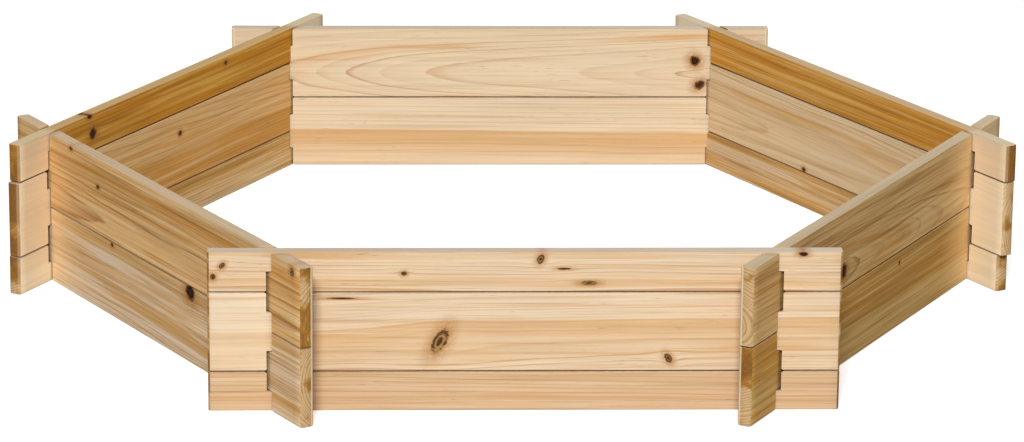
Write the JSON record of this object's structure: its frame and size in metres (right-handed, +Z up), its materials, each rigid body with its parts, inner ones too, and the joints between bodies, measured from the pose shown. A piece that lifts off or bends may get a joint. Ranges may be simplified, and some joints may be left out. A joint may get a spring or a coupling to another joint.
{
  "type": "hexagonal wooden sandbox frame",
  "caption": "Open hexagonal sandbox frame of notched softwood boards laid up log-cabin fashion, with board ends standing out past each corner.",
  "frame": {"origin": "on the ground at the centre of the hexagon", "axes": "+X along the front side towards the right-hand corner; +Y from the front side towards the rear side; +Z up"},
  "size_m": [1.2926, 1.1838, 0.2],
  "materials": {
    "pale_softwood": "planed, unfinished",
    "warm_softwood": "planed, unfinished"
  },
  "bodies": {
    "ground_course": {"front_bottom_half_board": "pale_softwood", "rear_right_bottom_half_board": "pale_softwood", "rear_left_bottom_half_board": "pale_softwood"},
    "second_course": {"front_right_bottom_board": "pale_softwood", "rear_bottom_board": "pale_softwood", "front_left_bottom_board": "pale_softwood"},
    "third_course": {"front_middle_board": "pale_softwood", "rear_right_middle_board": "pale_softwood", "rear_left_middle_board": "pale_softwood"},
    "fourth_course": {"front_right_top_board": "pale_softwood", "rear_top_board": "warm_softwood", "front_left_top_board": "warm_softwood"},
    "front_rim": {"front_top_half_board": "pale_softwood"},
    "rear_right_rim": {"rear_right_top_half_board": "warm_softwood"},
    "rear_left_rim": {"rear_left_top_half_board": "pale_softwood"}
  },
  "joints": [
    {"name": "second_course_lift", "type": "slide", "parent": "ground_course", "child": "second_course", "axis": [0, 0, 1], "range_m": [0, 0.06]},
    {"name": "third_course_lift", "type": "slide", "parent": "second_course", "child": "third_course", "axis": [0, 0, 1], "range_m": [0, 0.06]},
    {"name": "fourth_course_lift", "type": "slide", "parent": "third_course", "child": "fourth_course", "axis": [0, 0, 1], "range_m": [0, 0.06]},
    {"name": "front_rim_lift", "type": "slide", "parent": "fourth_course", "child": "front_rim", "axis": [0, 0, 1], "range_m": [0, 0.06]},
    {"name": "rear_right_rim_lift", "type": "slide", "parent": "fourth_course", "child": "rear_right_rim", "axis": [0, 0, 1], "range_m": [0, 0.06]},
    {"name": "rear_left_rim_lift", "type": "slide", "parent": "fourth_course", "child": "rear_left_rim", "axis": [0, 0, 1], "range_m": [0, 0.06]}
  ]
}
